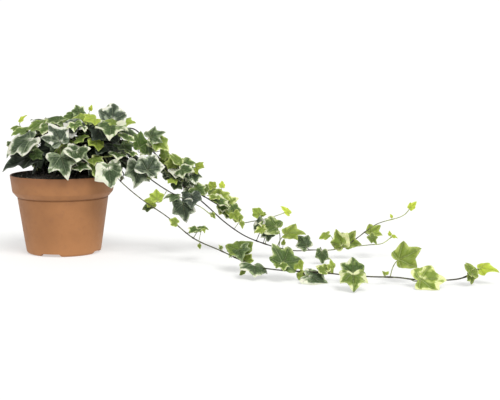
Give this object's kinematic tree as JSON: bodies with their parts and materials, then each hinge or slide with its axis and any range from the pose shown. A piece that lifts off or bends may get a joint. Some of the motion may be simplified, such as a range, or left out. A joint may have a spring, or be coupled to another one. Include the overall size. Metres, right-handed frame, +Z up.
{
  "type": "potted ivy",
  "caption": "Variegated trailing ivy in a round terracotta-coloured nursery pot: a leafy crown over the rim and long leafy trailers that lie along the surface to one side.",
  "frame": {"origin": "on the pot's axis, at the surface that the pot stands on", "axes": "+Z up, +X the way the trailers run, -Y the front"},
  "size_m": [0.5709, 0.3422, 0.1864],
  "materials": {
    "pot": "terracotta-coloured moulded plastic, satin, slightly mottled",
    "soil": "dark crumbly peat soil",
    "ivy": "waxy grey-green leaves with uneven cream margins, lime when young, on thin brown-green stems"
  },
  "bodies": {
    "root": {"pot": "pot", "soil": "soil", "trailer_front": "ivy", "trailer_long": "ivy", "trailer_upper": "ivy", "shoot_right": "ivy", "trailer_short": "ivy", "shoot_left": "ivy", "shoot_front_left": "ivy", "shoot_top": "ivy", "shoot_top_right": "ivy", "shoot_front_right": "ivy", "shoot_back_1": "ivy", "shoot_back_2": "ivy", "shoot_back_3": "ivy", "shoot_back_4": "ivy"}
  },
  "joints": []
}
